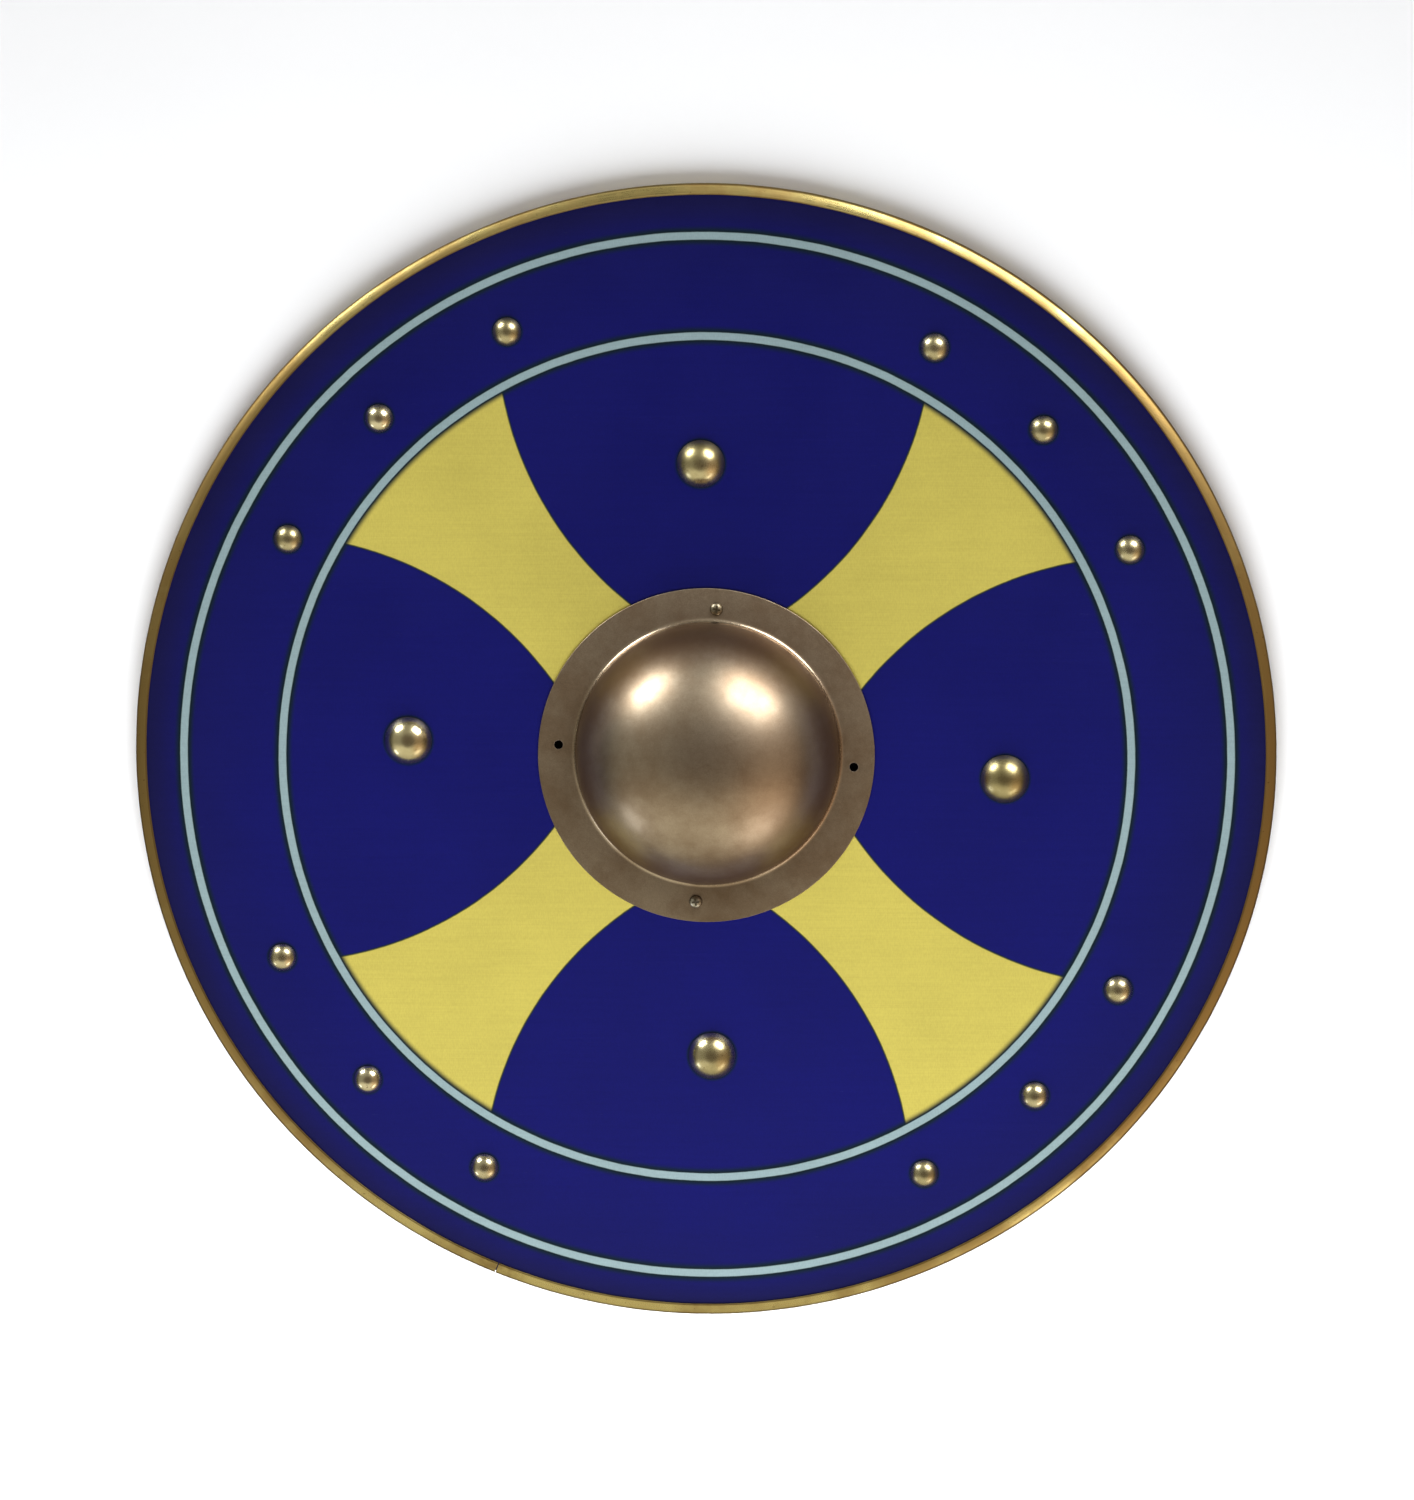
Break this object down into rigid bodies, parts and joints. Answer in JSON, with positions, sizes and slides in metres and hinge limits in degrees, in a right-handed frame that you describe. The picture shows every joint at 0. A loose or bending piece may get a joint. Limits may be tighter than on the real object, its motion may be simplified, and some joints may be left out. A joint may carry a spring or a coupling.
{
  "type": "round shield",
  "caption": "Painted wooden round shield with a hollow steel boss, a brass edging strip, domed brass nails and rivets, and a wooden grip across the hand hole.",
  "frame": {"origin": "centre of the round brass edging, on the plane that its underside rests on; the painted rings and the boss are within a few millimetres of it", "axes": "+Z out of the face through the boss, +Y to the top of the shield as it is carried, +X to the right of someone facing the front"},
  "size_m": [0.61, 0.6096, 0.0714],
  "materials": {
    "painted_wood": "satin oil paint on plywood: dark blue with a yellow cross and two pale grey-green rings",
    "brass": "polished, slightly tarnished",
    "steel": "satin, hand-brushed, warm grey brown",
    "screw_steel": "worn zinc",
    "bare_wood": "oiled hardwood"
  },
  "bodies": {
    "root": {"board": "painted_wood", "brass_edging": "brass", "boss": "steel", "boss_screw_top": "screw_steel", "boss_screw_bottom": "screw_steel", "large_rivet_top": "brass", "large_rivet_left": "brass", "large_rivet_bottom": "brass", "large_rivet_right": "brass", "small_nail_01": "brass", "small_nail_02": "brass", "small_nail_03": "brass", "small_nail_04": "brass", "small_nail_05": "brass", "small_nail_06": "brass", "small_nail_07": "brass", "small_nail_08": "brass", "small_nail_09": "brass", "small_nail_10": "brass", "small_nail_11": "brass", "small_nail_12": "brass", "grip": "bare_wood"}
  },
  "joints": []
}
